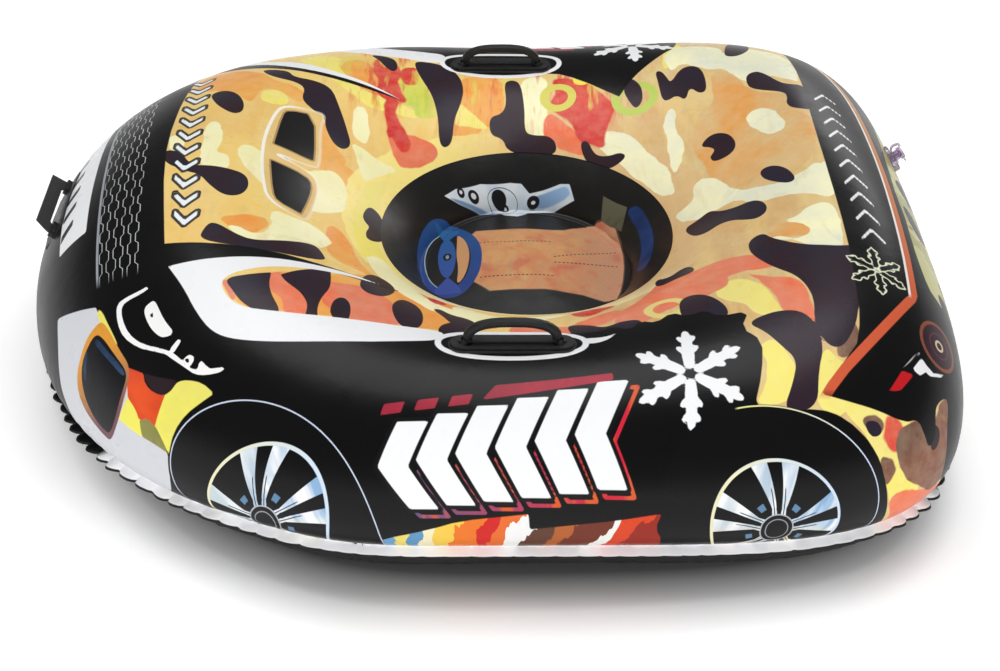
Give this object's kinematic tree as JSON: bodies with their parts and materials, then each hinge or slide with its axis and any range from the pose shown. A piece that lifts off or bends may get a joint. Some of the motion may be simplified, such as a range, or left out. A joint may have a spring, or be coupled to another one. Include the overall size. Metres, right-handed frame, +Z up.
{
  "type": "snow tube",
  "caption": "Inflatable ride-on snow tube: ring with a round seat well, two folding hand grips on top, a tow strap in front and an air valve behind.",
  "frame": {"origin": "on the ground under the middle of the ring's bounding box", "axes": "+X from the front, which has the tow strap, to the rear, which has the valve; +Z up; -Y is the side with the near grip"},
  "size_m": [1.112, 0.942, 0.272],
  "materials": {
    "printed_pvc": "printed semi-gloss PVC film",
    "base_pvc": "satin dark grey PVC sheet",
    "wall_pvc": "glossy black PVC film",
    "moulded_pvc": "satin black moulded soft PVC",
    "webbing": "woven black polyester webbing",
    "clear_pvc": "clear soft PVC with a faint purple tint"
  },
  "bodies": {
    "tube": {"top_skin": "printed_pvc", "base_skin": "base_pvc", "well_wall": "wall_pvc", "seat_floor": "printed_pvc", "handle_patch_near": "moulded_pvc", "handle_patch_far": "moulded_pvc", "handle_cover_near": "moulded_pvc", "handle_cover_far": "moulded_pvc", "tow_patch": "moulded_pvc", "tow_strap": "webbing", "tow_anchor_near": "moulded_pvc", "tow_anchor_far": "moulded_pvc", "valve_flange": "clear_pvc", "valve_tether": "clear_pvc"},
    "near_grip": {"handle_grip_near": "moulded_pvc"},
    "far_grip": {"handle_grip_far": "moulded_pvc"},
    "stem": {"valve_stem": "clear_pvc"},
    "plug": {"valve_plug": "clear_pvc"},
    "flap": {"valve_flap": "clear_pvc"}
  },
  "joints": [
    {"name": "near_grip_fold", "type": "hinge", "parent": "tube", "child": "near_grip", "pos_m": [0.028, -0.31447, 0.22293], "axis": [1, 0, 0], "range_deg": [-45, 45]},
    {"name": "far_grip_fold", "type": "hinge", "parent": "tube", "child": "far_grip", "pos_m": [0.028, 0.31447, 0.22293], "axis": [1, 0, 0], "range_deg": [-45, 45]},
    {"name": "stem_push_in", "type": "slide", "parent": "tube", "child": "stem", "axis": [-0.8321, -0.2071, -0.5145], "range_m": [0, 0.004]},
    {"name": "plug_pull", "type": "slide", "parent": "stem", "child": "plug", "axis": [0.8321, 0.2071, 0.5145], "range_m": [0, 0.012]},
    {"name": "flap_open", "type": "hinge", "parent": "stem", "child": "flap", "pos_m": [0.51989, 0.10327, 0.18698], "axis": [-0.5259, 0, 0.8506], "range_deg": [0, 40], "stiffness_Nm_per_rad": 0.0004}
  ]
}
